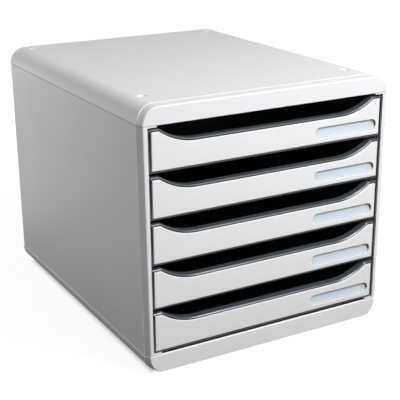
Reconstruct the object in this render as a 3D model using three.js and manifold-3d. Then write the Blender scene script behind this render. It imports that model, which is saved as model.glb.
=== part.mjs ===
// A desktop cabinet with a stack of pull-out file drawers.
// Millimetres. +Z is up, the drawers face -Y, and the origin is on the table under the middle.
import * as THREE from 'three';
import { mergeVertices } from 'three/addons/utils/BufferGeometryUtils.js';
import Module from 'manifold-3d';

const wasm = await Module();
wasm.setup();

// Cabinet, over all
const cabinetWidth = 286.8;
const cabinetDepth = 348;
const cabinetHeight = 271.3;
const shellWall = 2.4;
const fasciaThickness = 2.6;
const topCornerRadius = 19.5;
const bottomCornerRadius = 18.2;
const topCoverHeight = 18.5;
const baseHeight = 19.7;
const seamGap = 0.4;
const coverOverhang = 1.4;
const baseSideInset = 1.3;
const jambWidth = 8;

// Front edge of the cabinet: a fillet, a drafted band behind it and a small step at the band's end
const topFillet = 2;
const sideFillet = 4;
const bottomFillet = 1;
const topBandDepth = 13;
const sideBandDepth = 7;
const bottomBandDepth = 7;
const topBandDraft = 0.9;
const sideBandDraft = 0.7;
const bottomBandDraft = 0.1;
const bandStep = 0.35;
const bandStepRun = 0.5;

// Side panels: the turned-in flanges at top and bottom, and the ledges that carry the drawers
const cornerFlangeWidth = 9.5;
const topFlangeThickness = 1.3;
const bottomFlangeThickness = 1;
const ledgeThickness = 2.4;

// Back panel
const backPanelThickness = 2.2;
const backPanelRecess = 1.3;
const backFrameWidth = 14;
const backFrameHeight = 0.6;

// Feet and the dimples in the top that take the feet of a cabinet stacked above
const footHeight = 1.5;
const footRadius = 4;
const footChamfer = 0.4;
const footStemRadius = 2;
const footStemLength = 4;
const footSideInset = 24.7;
const footFrontInset = 43.2;
const footBackInset = 16.4;
const dimpleRadius = 4.8;
const dimpleDepth = 1.2;

// Drawers
const drawerCount = 5;
const drawerGap = 3.5;
const stackTopClearance = 2;
const stackBottomClearance = 0.4;
const drawerSideClearance = 1.1;
const drawerTravel = 275;
const closingClearance = 0.5;

// Tray: the front frame, the wave along its top edge and the lip behind it
const frameSide = 1.85;
const frameEdge = 1.3;
const recessDepth = 3.4;
const frontWall = 2.2;
const waveDepth = 13.9;
const waveRadius = 64;
const shoulderRadius = 5;
const shoulderWidth = 9.3;
const lipDepth = 11;
const lipThickness = 1.8;

// Tray: the box and its runners
const trayWall = 2;
const trayFloorLift = 1.2;
const runnerDrop = 3;
const runnerThickness = 2;
const runnerWidth = 5.3;
const runnerSideClearance = 1.6;
const ledgeSideClearance = 0.7;
const stopEarLength = 8;
const stopEarClearance = 1.6;

// Drawer label
const labelSlotWidth = 76;
const labelSlotHeight = 11.6;
const labelSlotRadius = 5.7;
const labelSideMargin = 6;
const labelBottomMargin = 7.4;
const cardLeftMargin = 5.4;
const cardRightMargin = 8.8;
const cardEdgeMargin = 0.6;
const cardThickness = 0.4;
const windowTopRecess = 2;
const windowBottomRecess = 0.1;
const labelPocketWall = 0.6;

// Clearances shared by the pieces, the reach of a cut past a face, the least radius of a corner
// that is drawn in, and the fineness of round edges
const fitGap = 0.3;
const overrun = 5;
const leastRadius = 1;
const weldTolerance = 0.0001;
const cornerSegments = 8;
const filletSegments = 4;
const waveSegments = 10;
const shoulderSegments = 4;
const roundSegments = 20;

// Places worked out from the sizes above
const halfWidth = cabinetWidth / 2;
const baseHalfWidth = halfWidth - baseSideInset;
const frontY = -cabinetDepth / 2;
const backY = cabinetDepth / 2;
const underside = footHeight;
const shellInset = bandStep + shellWall;
const innerHalfWidth = halfWidth - shellInset;
const lowerSeam = underside + baseHeight;
const upperSeam = cabinetHeight - topCoverHeight;
const sideBottom = lowerSeam + seamGap / 2;
const sideTop = upperSeam - seamGap / 2;
const baseTop = lowerSeam - seamGap / 2;
const coverBottom = upperSeam + seamGap / 2;
const sideBackY = backY - coverOverhang;
const openingHalfWidth = halfWidth - jambWidth;
const backPanelBackY = sideBackY - backPanelRecess;
const backPanelFrontY = backPanelBackY - backPanelThickness;
const ledgeEndY = backPanelFrontY - fitGap;

const stackBottom = sideBottom + bottomFlangeThickness + stackBottomClearance;
const stackTop = sideTop - topFlangeThickness - stackTopClearance;
const frontHeight = (stackTop - stackBottom - (drawerCount - 1) * drawerGap) / drawerCount;
const drawerPitch = frontHeight + drawerGap;
const frontHalfWidth = openingHalfWidth - drawerSideClearance;
const frontDepth = recessDepth + frontWall;
const ledgeFrontY = frontY + frontDepth + closingClearance;
const trayLength = backPanelFrontY - closingClearance - frontY;
const runnerTop = frontHeight - runnerDrop;
const runnerBottom = runnerTop - runnerThickness;
const runnerHalfWidth = openingHalfWidth - runnerSideClearance;
const trayHalfWidth = runnerHalfWidth - runnerWidth;
const ledgeHalfWidth = trayHalfWidth + ledgeSideClearance;
const ledgeTop = runnerBottom - fitGap;
const earHalfWidth = innerHalfWidth - stopEarClearance;
const earFront = fasciaThickness + drawerTravel + fitGap;

// The wave's concave arc and the convex shoulder arc that runs into it, in the drawer's own frame
const shoulderZ = frontHeight - shoulderRadius;
const waveZ = frontHeight - waveDepth + waveRadius;
const arcRun = Math.sqrt((waveRadius + shoulderRadius) ** 2 - (waveZ - shoulderZ) ** 2);
const shoulderX = frontHalfWidth - shoulderWidth;
const waveX = shoulderX - arcRun;
const waveTurn = Math.atan2(arcRun, waveZ - shoulderZ);

const labelRight = frontHalfWidth - labelSideMargin;
const labelX = labelRight - labelSlotWidth / 2;
const labelZ = labelBottomMargin + labelSlotHeight / 2;
const pocketDepth = recessDepth - labelPocketWall;

// Materials
const shellPlastic = new THREE.MeshStandardMaterial({ color: 0xd9dade, roughness: 0.5 });
const frontPlastic = new THREE.MeshStandardMaterial({ color: 0xececee, roughness: 0.4 });
const trayPlastic = new THREE.MeshStandardMaterial({ color: 0x3b4047, roughness: 0.4 });
const clearPlastic = new THREE.MeshStandardMaterial({
  color: 0xdcebe6, roughness: 0.1, transparent: true, opacity: 0.35 });
const cardPaper = new THREE.MeshStandardMaterial({ color: 0xdce4ec, roughness: 0.9 });
const footRubber = new THREE.MeshStandardMaterial({ color: 0xb9bbbf, roughness: 0.9 });

// Turning a three.js geometry into a solid, and a solid into a named mesh
function solidOf(geometry) {
  geometry.deleteAttribute('normal');
  geometry.deleteAttribute('uv');
  const merged = mergeVertices(geometry, weldTolerance);
  const corners = merged.index.array;
  const triangles = [];
  for (let i = 0; i < corners.length; i += 3) {
    const [a, b, c] = [corners[i], corners[i + 1], corners[i + 2]];
    if (a !== b && b !== c && c !== a) triangles.push(a, b, c);
  }
  return new wasm.Manifold(new wasm.Mesh({
    numProp: 3,
    vertProperties: Float32Array.from(merged.attributes.position.array),
    triVerts: Uint32Array.from(triangles),
  }));
}

function meshOf(name, solid, material) {
  const { vertProperties, triVerts } = solid.getMesh();
  const geometry = new THREE.BufferGeometry();
  geometry.setAttribute('position', new THREE.BufferAttribute(Float32Array.from(vertProperties), 3));
  geometry.setIndex(new THREE.BufferAttribute(Uint32Array.from(triVerts), 1));
  geometry.computeVertexNormals();
  const mesh = new THREE.Mesh(geometry, material);
  mesh.name = name;
  return mesh;
}

// A box between two corners
function block(x0, x1, y0, y1, z0, z1) {
  const box = new THREE.BoxGeometry(Math.abs(x1 - x0), Math.abs(y1 - y0), Math.abs(z1 - z0));
  box.translate((x0 + x1) / 2, (y0 + y1) / 2, (z0 + z1) / 2);
  return solidOf(box);
}

// A flat outline in x and z, given thickness from y0 to y1
function plate(outline, y0, y1) {
  const shape = new THREE.Shape(outline.map((point) => new THREE.Vector2(point.x, point.z)));
  const geometry = new THREE.ExtrudeGeometry(shape, { depth: y1 - y0, bevelEnabled: false });
  geometry.rotateX(Math.PI / 2);
  geometry.translate(0, y1, 0);
  return solidOf(geometry);
}

// A closed skin over rings of the same number of points, from front to back
function loft(rings) {
  const count = rings[0].length;
  const positions = rings.flat().flatMap((point) => [point.x, point.y, point.z]);
  const index = [];
  for (let ring = 0; ring + 1 < rings.length; ring += 1) {
    for (let i = 0; i < count; i += 1) {
      const front = ring * count + i;
      const nextFront = ring * count + (i + 1) % count;
      index.push(front, front + count, nextFront + count);
      index.push(front, nextFront + count, nextFront);
    }
  }
  const last = (rings.length - 1) * count;
  for (let i = 1; i + 1 < count; i += 1) {
    index.push(0, i, i + 1);
    index.push(last, last + i + 1, last + i);
  }
  const geometry = new THREE.BufferGeometry();
  geometry.setAttribute('position', new THREE.Float32BufferAttribute(positions, 3));
  geometry.setIndex(index);
  return solidOf(geometry);
}

// Points of an arc, with the outward normal of its circle at each
function arc(x, z, radius, from, to, segments) {
  const points = [];
  for (let i = 0; i <= segments; i += 1) {
    const angle = from + (to - from) * i / segments;
    const nx = Math.cos(angle);
    const nz = Math.sin(angle);
    points.push({ x: x + radius * nx, z: z + radius * nz, nx, nz });
  }
  return points;
}

// A rectangle with round corners, drawn anticlockwise
function roundedOutline(x0, x1, z0, z1, topRadius, bottomRadius, segments) {
  const right = Math.PI / 2;
  return [
    ...arc(x1 - topRadius, z1 - topRadius, topRadius, 0, right, segments),
    ...arc(x0 + topRadius, z1 - topRadius, topRadius, right, 2 * right, segments),
    ...arc(x0 + bottomRadius, z0 + bottomRadius, bottomRadius, 2 * right, 3 * right, segments),
    ...arc(x1 - bottomRadius, z0 + bottomRadius, bottomRadius, 3 * right, 4 * right, segments),
  ];
}

// The cabinet's cross-section with its outermost sides at half, drawn in from that outline
function cabinetOutline(half, inset) {
  return roundedOutline(-half + inset, half - inset, underside + inset,
    cabinetHeight - inset, Math.max(topCornerRadius - inset, leastRadius),
    Math.max(bottomCornerRadius - inset, leastRadius), cornerSegments);
}

// Depth and inset of the front edge's rings where the outline faces along a normal
function edgeProfile(point) {
  const side = point.nx ** 2;
  const top = point.nz > 0 ? point.nz ** 2 : 0;
  const bottom = point.nz < 0 ? point.nz ** 2 : 0;
  const fillet = side * sideFillet + top * topFillet + bottom * bottomFillet;
  const draft = side * sideBandDraft + top * topBandDraft + bottom * bottomBandDraft;
  const band = side * sideBandDepth + top * topBandDepth + bottom * bottomBandDepth;
  const profile = [];
  for (let i = 0; i <= filletSegments; i += 1) {
    const turn = Math.PI / 2 * i / filletSegments;
    profile.push({ depth: fillet - fillet * Math.cos(turn), inset: draft + fillet - fillet * Math.sin(turn) });
  }
  profile.push({ depth: band, inset: 0 });
  profile.push({ depth: band + bandStepRun, inset: bandStep });
  profile.push({ depth: cabinetDepth, inset: bandStep });
  return profile;
}

// The cabinet as one hollow shell, open at the back and at the drawers, from which the top cover,
// the sides and the slightly narrower base are parted
function cabinetShell(half) {
  const outline = cabinetOutline(half, 0);
  const profiles = outline.map(edgeProfile);
  const rings = profiles[0].map((unused, ring) => outline.map((point, i) => ({
    x: point.x - point.nx * profiles[i][ring].inset,
    y: frontY + profiles[i][ring].depth,
    z: point.z - point.nz * profiles[i][ring].inset,
  })));
  const cavity = plate(cabinetOutline(half, shellInset), frontY + fasciaThickness, backY + overrun);
  const opening = block(-openingHalfWidth, openingHalfWidth, frontY - overrun,
    frontY + fasciaThickness + overrun, baseTop, coverBottom);
  return loft(rings).subtract(cavity).subtract(opening);
}

const shell = cabinetShell(halfWidth);
const baseShell = cabinetShell(baseHalfWidth);
const beyondX = halfWidth + overrun;
const beyondFront = frontY - overrun;
const beyondBack = backY + overrun;

function footPlaces() {
  const places = [];
  for (const [row, y] of [['front', frontY + footFrontInset], ['back', backY - footBackInset]]) {
    for (const [side, x] of [['left', -halfWidth + footSideInset], ['right', halfWidth - footSideInset]]) {
      places.push({ name: `foot_${row}_${side}`, x, y });
    }
  }
  return places;
}

// A round peg or cutter standing on z0
function peg(x, y, z0, z1, radius) {
  const cylinder = new THREE.CylinderGeometry(radius, radius, z1 - z0, roundSegments);
  cylinder.rotateX(Math.PI / 2);
  cylinder.translate(x, y, (z0 + z1) / 2);
  return solidOf(cylinder);
}

function topCover() {
  const top = cabinetHeight - bandStep;
  let cover = shell.intersect(
    block(-beyondX, beyondX, beyondFront, beyondBack, coverBottom, cabinetHeight + overrun));
  for (const { x, y } of footPlaces()) {
    cover = cover.subtract(peg(x, y, top - dimpleDepth, top + overrun, dimpleRadius));
  }
  return cover;
}

function base() {
  let body = baseShell.intersect(
    block(-beyondX, beyondX, beyondFront, beyondBack, underside - overrun, baseTop));
  for (const { x, y } of footPlaces()) {
    body = body.subtract(peg(x, y, underside - overrun, underside + shellInset + overrun,
      footStemRadius + fitGap));
  }
  return body;
}

// Height of a drawer's lower edge, counted from the top drawer
function drawerZ(number) {
  return stackBottom + (drawerCount - number) * drawerPitch;
}

function drawerNumbers() {
  return Array.from({ length: drawerCount }, (unused, i) => i + 1);
}

// One side of the cabinet: wall, front jamb, corner flanges and drawer ledges. side is -1 or 1.
function sidePanel(side) {
  const inWall = side * (innerHalfWidth + shellWall / 2);
  const flangeX = side * (openingHalfWidth - cornerFlangeWidth);
  let panel = shell.intersect(block(0, side * beyondX, beyondFront, sideBackY, sideBottom, sideTop));
  panel = panel.add(block(flangeX, inWall, frontY, ledgeEndY, sideTop - topFlangeThickness, sideTop)
    .subtract(edgeTrim(side)));
  panel = panel.add(block(flangeX, inWall, frontY, ledgeEndY, sideBottom, sideBottom + bottomFlangeThickness)
    .subtract(edgeTrim(side)));
  for (const number of drawerNumbers()) {
    const top = drawerZ(number) + ledgeTop;
    panel = panel.add(block(side * ledgeHalfWidth, inWall, ledgeFrontY, ledgeEndY,
      top - ledgeThickness, top));
  }
  return panel;
}

// Keeps the flanges' front ends inside the rounded front edge of the jamb
function edgeTrim(side) {
  return block(side * openingHalfWidth, side * beyondX, beyondFront, frontY + fasciaThickness / 2,
    sideBottom - overrun, sideTop + overrun);
}

// The back panel fills the shell: wider between the sides, narrower down in the base
function backPanel() {
  const inset = shellInset + fitGap;
  const betweenSides = plate(cabinetOutline(halfWidth, inset), backPanelFrontY, backPanelBackY)
    .intersect(block(-beyondX, beyondX, beyondFront, beyondBack, sideBottom, cabinetHeight));
  const inBase = plate(cabinetOutline(baseHalfWidth, inset), backPanelFrontY, backPanelBackY);
  const field = plate(cabinetOutline(baseHalfWidth, inset + backFrameWidth),
    backPanelBackY - backFrameHeight, backPanelBackY + overrun);
  return betweenSides.add(inBase).subtract(field);
}

function foot({ x, y }) {
  const seat = underside + bandStep;
  const profile = [
    new THREE.Vector2(0, 0),
    new THREE.Vector2(footRadius - footChamfer, 0),
    new THREE.Vector2(footRadius, footChamfer),
    new THREE.Vector2(footRadius, seat),
    new THREE.Vector2(footStemRadius, seat),
    new THREE.Vector2(footStemRadius, seat + footStemLength),
    new THREE.Vector2(0, seat + footStemLength),
  ];
  const geometry = new THREE.LatheGeometry(profile, roundSegments);
  geometry.rotateX(Math.PI / 2);
  geometry.translate(x, y, 0);
  return solidOf(geometry);
}

// The drawer front's top edge from right to left, drawn in from the front's outermost edge
function waveLine(inset, half) {
  const quarter = Math.PI / 2;
  const right = [
    ...arc(shoulderX, shoulderZ, shoulderRadius - inset, quarter, quarter + waveTurn, shoulderSegments),
    ...arc(waveX, waveZ, waveRadius + inset, waveTurn - quarter, -quarter, waveSegments).slice(1),
  ];
  const left = right.map(({ x, z }) => ({ x: -x, z })).reverse();
  const level = frontHeight - inset;
  return [{ x: half, z: level }, ...right, ...left, { x: -half, z: level }];
}

// The drawer front as seen from the front
function frontOutline(sideInset, edgeInset) {
  const half = frontHalfWidth - sideInset;
  return [{ x: -half, z: edgeInset }, { x: half, z: edgeInset }, ...waveLine(edgeInset, half)];
}

function labelOutline(inset) {
  return roundedOutline(labelX - labelSlotWidth / 2 + inset, labelX + labelSlotWidth / 2 - inset,
    labelZ - labelSlotHeight / 2 + inset, labelZ + labelSlotHeight / 2 - inset,
    labelSlotRadius - inset, labelSlotRadius - inset, cornerSegments / 2);
}

// The dark tray: box, front frame, wave lip, runners and stop ears
function tray() {
  const inner = trayHalfWidth - trayWall;
  const floorTop = trayFloorLift + trayWall;
  const box = block(-trayHalfWidth, trayHalfWidth, recessDepth + frontWall / 2, trayLength,
    trayFloorLift, runnerTop);
  const hollow = block(-inner, inner, recessDepth, trayLength - trayWall, floorTop, runnerTop + overrun);
  const front = plate(frontOutline(0, 0), 0, frontDepth)
    .subtract(plate(frontOutline(frameSide, frameEdge), -overrun, recessDepth));
  const lipOutline = [...waveLine(0, runnerHalfWidth),
    ...waveLine(lipThickness, runnerHalfWidth).reverse()];
  let body = box.subtract(hollow).add(front).add(plate(lipOutline, recessDepth + frontWall / 2, lipDepth));
  for (const side of [-1, 1]) {
    const inWall = side * (trayHalfWidth - trayWall / 2);
    body = body.add(block(inWall, side * runnerHalfWidth, recessDepth + frontWall / 2, trayLength,
      runnerBottom, runnerTop));
    body = body.add(block(inWall, side * earHalfWidth, earFront, earFront + stopEarLength,
      runnerBottom, runnerTop));
  }
  return body;
}

function frontPanel() {
  return plate(frontOutline(frameSide + fitGap, frameEdge + fitGap), 0, recessDepth)
    .subtract(plate(labelOutline(0), -overrun, pocketDepth));
}

// The clear cover: its face leans back from the slot's lower edge to its upper edge
function labelWindow() {
  const outline = labelOutline(fitGap);
  const lean = (windowTopRecess - windowBottomRecess) / (labelSlotHeight - 2 * fitGap);
  const low = labelZ - labelSlotHeight / 2 + fitGap;
  const face = outline.map(({ x, z }) => ({ x, y: windowBottomRecess + lean * (z - low), z }));
  const back = outline.map(({ x, z }) => ({ x, y: pocketDepth - cardThickness, z }));
  return loft([face, back]);
}

function labelCard() {
  const halfSlot = labelSlotWidth / 2;
  const halfCard = labelSlotHeight / 2 - cardEdgeMargin;
  return block(labelX - halfSlot + cardLeftMargin, labelX + halfSlot - cardRightMargin,
    pocketDepth - cardThickness, pocketDepth, labelZ - halfCard, labelZ + halfCard);
}

// The assembly
const group = new THREE.Group();
group.add(meshOf('top_cover', topCover(), shellPlastic));
group.add(meshOf('left_side_panel', sidePanel(-1), shellPlastic));
group.add(meshOf('right_side_panel', sidePanel(1), shellPlastic));
group.add(meshOf('base', base(), shellPlastic));
group.add(meshOf('back_panel', backPanel(), shellPlastic));
for (const place of footPlaces()) group.add(meshOf(place.name, foot(place), footRubber));

const drawerPieces = [
  ['tray', tray(), trayPlastic],
  ['front_panel', frontPanel(), frontPlastic],
  ['label_window', labelWindow(), clearPlastic],
  ['label_card', labelCard(), cardPaper],
];
for (const number of drawerNumbers()) {
  const drawer = new THREE.Group();
  drawer.position.set(0, frontY, drawerZ(number));
  for (const [piece, solid, material] of drawerPieces) {
    drawer.add(meshOf(`drawer_${number}_${piece}`, solid, material));
  }
  group.add(drawer);
}

export default group;
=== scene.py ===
import math

import bmesh
import bpy
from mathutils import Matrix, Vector


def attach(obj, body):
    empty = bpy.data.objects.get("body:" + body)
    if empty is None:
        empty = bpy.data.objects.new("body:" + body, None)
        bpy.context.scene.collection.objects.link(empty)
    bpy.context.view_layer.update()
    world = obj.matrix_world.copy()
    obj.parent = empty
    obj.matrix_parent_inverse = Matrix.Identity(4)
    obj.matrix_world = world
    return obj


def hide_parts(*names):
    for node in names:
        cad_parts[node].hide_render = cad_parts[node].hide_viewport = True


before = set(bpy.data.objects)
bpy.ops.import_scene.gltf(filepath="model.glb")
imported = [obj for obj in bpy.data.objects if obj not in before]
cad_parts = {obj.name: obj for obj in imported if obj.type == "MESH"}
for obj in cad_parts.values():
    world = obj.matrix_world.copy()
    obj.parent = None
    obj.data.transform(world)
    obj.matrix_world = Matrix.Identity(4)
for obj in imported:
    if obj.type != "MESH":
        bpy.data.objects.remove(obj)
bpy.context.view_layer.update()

# Lengths are in millimetres. +X is to the right, the drawers face -Y, and +Z is up from the table.
MM = 0.001
QUARTER = math.pi / 2

# Cabinet
CABINET_WIDTH = 286.8
CABINET_DEPTH = 348.0
CABINET_HEIGHT = 271.3
UNDERSIDE = 1.5
SHELL_WALL = 2.4
SHELL_EDGE = 0.4
BASE_EDGE = 1.4
BASE_RAIL_SETBACK = 4.6
BASE_RAIL_THICKNESS = 2.4
BASE_RAIL_TOP = 0.9
TOP_CORNER_RADIUS = 19.5
BOTTOM_CORNER_RADIUS = 18.2
TOP_COVER_HEIGHT = 18.5
BASE_HEIGHT = 19.7
SEAM_GAP = 0.4
COVER_OVERHANG = 1.4
BASE_SIDE_INSET = 0.7
JAMB_WIDTH = 7.6
LEFT_LEAN = 1.4
RIGHT_LEAN = 0.1
BASE_SHIFT = 0.4
BASE_FRONT_INSET = 0.2

# Front edge of the cabinet
TOP_FILLET = 1.5
SIDE_FILLET = 1.9
BOTTOM_FILLET = 1.0
TOP_BAND_DEPTH = 13.0
SIDE_BAND_DEPTH = 7.8
SIDE_BAND_LOW_DEPTH = 6.0
BOTTOM_BAND_DEPTH = 7.0
TOP_BAND_DRAFT = 0.55
SIDE_BAND_DRAFT = 2.1
SIDE_BAND_LOW_DRAFT = 3.5
BOTTOM_BAND_DRAFT = 0.1
BAND_STEP = 0.35
TOP_BAND_WALL = 0.4
SIDE_BAND_WALL = 0.65
BOTTOM_BAND_WALL = 0.05
BAND_WALL_RUN = 0.1
CREST_FILLET = 0.35
CREST_FLAT = 0.3
CREST_SLOPE_RUN = 9.0
BACK_EDGE_FILLET = 0.4
INNER_FILLET = 1.0

# Side panel flanges and ledges
CORNER_FLANGE_WIDTH = 9.5
TOP_FLANGE_THICKNESS = 1.3
BOTTOM_FLANGE_THICKNESS = 1.0
LEDGE_THICKNESS = 2.4
LEDGE_EDGE = 0.3
FLANGE_EDGE = 0.15

# Back panel
BACK_PANEL_THICKNESS = 2.2
BACK_PANEL_RECESS = 1.3
BACK_FRAME_WIDTH = 14.0
BACK_FRAME_HEIGHT = 0.6

# Feet and dimples
FOOT_RADIUS = 4.0
FOOT_CHAMFER = 0.4
FOOT_STEM_RADIUS = 2.0
FOOT_STEM_LENGTH = 4.0
FOOT_SIDE_INSET = 24.7
FOOT_FRONT_INSET = 43.2
FOOT_BACK_INSET = 16.4
DIMPLE_RADIUS = 4.8
DIMPLE_DEPTH = 1.2
DIMPLE_LIP = 0.45
DIMPLE_FLOOR_FILLET = 0.5

# Drawers
DRAWER_COUNT = 5
DRAWER_GAP = 3.5
STACK_TOP_CLEARANCE = 2.0
STACK_BOTTOM_CLEARANCE = 0.4
DRAWER_SIDE_CLEARANCE = 1.5
CLOSING_CLEARANCE = 0.5
DRAWER_TRAVEL = 275.0
FASCIA_THICKNESS = 2.6
FRAME_SIDE = 1.85
FRAME_TOP_EDGE = 1.2
FRAME_BOTTOM_EDGE = 2.3
FRAME_CORNER_RADIUS = 1.3
FRAME_INNER_EDGE = 0.15
FRAME_FILLET = 0.9
FRAME_BEVEL_HEIGHT = 0.95
FRAME_BEVEL_DEPTH = 0.8
FRAME_TOP_SETBACK = 0.7
FRAME_SIDE_SETBACK = 4.2
FRAME_BOTTOM_SETBACK = 1.9
RIM_INSET = 0.6
RIM_WIDTH = 0.8
RECESS_DEPTH = 3.4
FRONT_WALL = 2.2
WAVE_DEPTH = 13.5
WAVE_RADIUS = 64.0
SHOULDER_RADIUS = 5.0
SHOULDER_WIDTH = 9.3
LIP_DEPTH = 10.0
LIP_THICKNESS = 1.8
LIP_FILLET = 0.7
TRAY_WALL = 2.0
TRAY_FLOOR_LIFT = 1.2
TRAY_FLOOR_FILLET = 3.5
TRAY_UNDER_FILLET = 2.0
TRAY_CORNER_RADIUS = 4.0
TRAY_RIM_FILLET = 0.6
RUNNER_DROP = 3.0
RUNNER_THICKNESS = 2.0
RUNNER_WIDTH = 5.3
RUNNER_SIDE_CLEARANCE = 2.0
LEDGE_SIDE_CLEARANCE = 0.7
STOP_EAR_LENGTH = 8.0
STOP_EAR_CLEARANCE = 1.6
FIT_GAP = 0.3

# White front and label
PANEL_GAP = 0.4
PANEL_TOP_GAP = 1.1
PANEL_EDGE_DEPTH = 1.7
PANEL_TOP_EDGE_DEPTH = 1.1
PANEL_FILLET = 0.8
PANEL_CORNER_RADIUS = 0.5
LABEL_SLOT_WIDTH = 76.6
LABEL_SLOT_HEIGHT = 11.6
LABEL_SLOT_RADIUS = 5.7
LABEL_SIDE_MARGIN = 6.2
LABEL_BOTTOM_MARGIN = 7.6
LABEL_POCKET_WALL = 0.3
SLOT_FILLET = 0.35
CARD_LEFT_MARGIN = 5.4
CARD_RIGHT_MARGIN = 8.8
CARD_EDGE_MARGIN = 0.6
CARD_THICKNESS = 0.4
WINDOW_TOP_RECESS = 2.4
WINDOW_BOTTOM_RECESS = 0.1
WINDOW_GAP = 0.3
WINDOW_RIGHT_GAP = 0.9
WINDOW_CARD_GAP = 0.05
WINDOW_CURVE_POWER = 2.5
WINDOW_END_BLUR = 0.8
# A dark arc of tray plastic in the label slot's right end, as painted shade
SHADE_ARC_THICKNESS = 0.3
SHADE_ARC_RECESS = 0.5
SHADE_ARC_LOW_SHARE = -0.15

# Fineness of round edges, and what counts as one point or as a smooth edge
CORNER_STEPS = 20
FILLET_STEPS = 6
SMALL_STEPS = 3
WAVE_STEPS = 28
SHOULDER_STEPS = 8
ROUND_STEPS = 48
LABEL_STEPS = 10
WINDOW_ROWS = 10
WINDOW_COLUMNS = 40
LEAST_RADIUS = 0.15
TRIM_GAP = 0.0001
MERGE_DISTANCE = 0.0005
FACE_MERGE_DISTANCE = 0.00015
SHARP_DEGREES = 35
WINDOW_SHARP_DEGREES = 50

# Materials: a noise has its scale in cells per metre, and a bump its strength and its height
CONTRAST_SHARES = (0.3, 0.7)
MOTTLE = dict(scale=9.0, detail=3.0)
SMEAR = dict(scale=60.0, detail=4.0)
RIPPLE = dict(scale=110.0, detail=1.0)
RIPPLE_HEIGHT = 0.06
GRAIN = dict(scale=2600.0, detail=1.5)
GRAIN_HEIGHT = 0.03
PLASTICS = {
    "shell_plastic": dict(color=(0.83, 0.83, 0.845), mottle_share=0.015, roughness=0.42,
                          spread=0.05, ripple=0.05, grain=0.16, specular=0.34),
    "front_plastic": dict(color=(0.83, 0.83, 0.84), mottle_share=0.01, roughness=0.36,
                          spread=0.05, ripple=0.05, grain=0.10, specular=0.5),
    "tray_plastic": dict(color=(0.075, 0.090, 0.104), mottle_share=0.08, roughness=0.23,
                         spread=0.03, ripple=0.05, grain=0.08, specular=0.45),
}
WINDOW_COLOR = (0.86, 0.89, 0.95)
WINDOW_MIDDLE_COLOR = (0.84, 0.89, 0.93)
WINDOW_END_COLOR = (0.73, 0.82, 0.79)
WINDOW_ALPHA = 0.35
WINDOW_ROUGHNESS = 0.16
WINDOW_ROUGHNESS_LIMITS = (0.12, 0.22)
WINDOW_SMEAR = dict(scale=90.0, detail=3.0)
WINDOW_RIPPLE = dict(scale=45.0, detail=1.0)
WINDOW_BUMP = (0.2, 0.05)
CARD_COLOR = (0.68, 0.77, 0.84)
CARD_DARK_COLOR = (0.655, 0.745, 0.82)
CARD_PALE_COLOR = (0.70, 0.79, 0.86)
CARD_ROUGHNESS = 0.85
CARD_FIBRES = dict(scale=900.0, detail=4.0, stretch=(0.25, 1, 1), rough=0.65)
CARD_BUMP = (0.3, 0.03)
FOOT_COLOR = (0.30, 0.31, 0.33)
FOOT_DARK_COLOR = (0.26, 0.27, 0.29)
FOOT_PALE_COLOR = (0.34, 0.35, 0.36)
FOOT_ROUGHNESS = 0.8
FOOT_DUST = dict(scale=500.0, detail=4.0)
FOOT_DUST_SHARES = (0.35, 0.65)
FOOT_GRAIN = dict(scale=1500.0, detail=2.0)
FOOT_BUMP = (0.4, 0.05)

# Floor and world: the floor glows by itself, its glow drops under and near the cabinet as a painted
# contact shadow, and it keeps the real shadow
FLOOR_HALF_SIZE = 4000.0
FLOOR_SHADE_SHARE = 0.12
FLOOR_BOUNCE_SHARE = 0.08
FLOOR_GLOW = 0.92
FLOOR_FAR = 700.0
# Painted contact shadow: the floor's glow drops to a low level just inside the cabinet's outline, and
# mirror rays see a wider painted shadow around it
PAINTED_SHADOW_GLOW = 0.04
PAINTED_SHADOW_START = 18.0
PAINTED_SHADOW_END = 4.0
MIRROR_SHADE_END = 260.0
WORLD_LEVEL = 0.08
WORLD_COLOR = (1, 1, 1, 1)

# Soft boxes, which all face one point in the middle of the cabinet
LIGHT_AIM = (0, 0, 130.0)
SOFTBOXES = [
    dict(name="key", place=(420, -1000, 900), width=400, height=400, watts=9.5),
    dict(name="high_key", place=(480, -1030, 1260), width=800, height=800, watts=4.7),
    dict(name="front_key", place=(170, -890, 1070), width=400, height=400, watts=4.3),
    dict(name="low_fill", place=(-250, -900, 140), width=300, height=300, watts=0.62, seen=False),
    dict(name="left_fill", place=(-900, 350, 420), width=500, height=500, watts=1.95),
    dict(name="far_left_fill", place=(-600, 650, 300), width=400, height=400, watts=0.74),
    dict(name="back_fill", place=(100, 1300, 135), width=900, height=240, watts=5.0, seen=False),
    dict(name="right_fill", place=(1100, 420, 135), width=700, height=240, watts=2.0, seen=False),
]

# Camera: a pinhole fitted to the photograph
CAMERA_PLACE = (-517.92, -946.07, 480.63)
CAMERA_TURN_DEGREES = (70.913, 0.346, -29.581)
CAMERA_VIEW_DEGREES = 22.974

# Places worked out from the sizes above
HALF_WIDTH = CABINET_WIDTH / 2
BASE_HALF_WIDTH = HALF_WIDTH - BASE_SIDE_INSET
FRONT_Y = -CABINET_DEPTH / 2
BACK_Y = CABINET_DEPTH / 2
SHELL_INSET = BAND_STEP + SHELL_WALL
INNER_HALF_WIDTH = HALF_WIDTH - SHELL_INSET
LOWER_SEAM = UNDERSIDE + BASE_HEIGHT
UPPER_SEAM = CABINET_HEIGHT - TOP_COVER_HEIGHT
SIDE_BOTTOM = LOWER_SEAM + SEAM_GAP / 2
SIDE_TOP = UPPER_SEAM - SEAM_GAP / 2
BASE_TOP = LOWER_SEAM - SEAM_GAP / 2
COVER_BOTTOM = UPPER_SEAM + SEAM_GAP / 2
SIDE_BACK_Y = BACK_Y - COVER_OVERHANG
OPENING_HALF_WIDTH = HALF_WIDTH - JAMB_WIDTH
BACK_PANEL_BACK_Y = SIDE_BACK_Y - BACK_PANEL_RECESS
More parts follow.
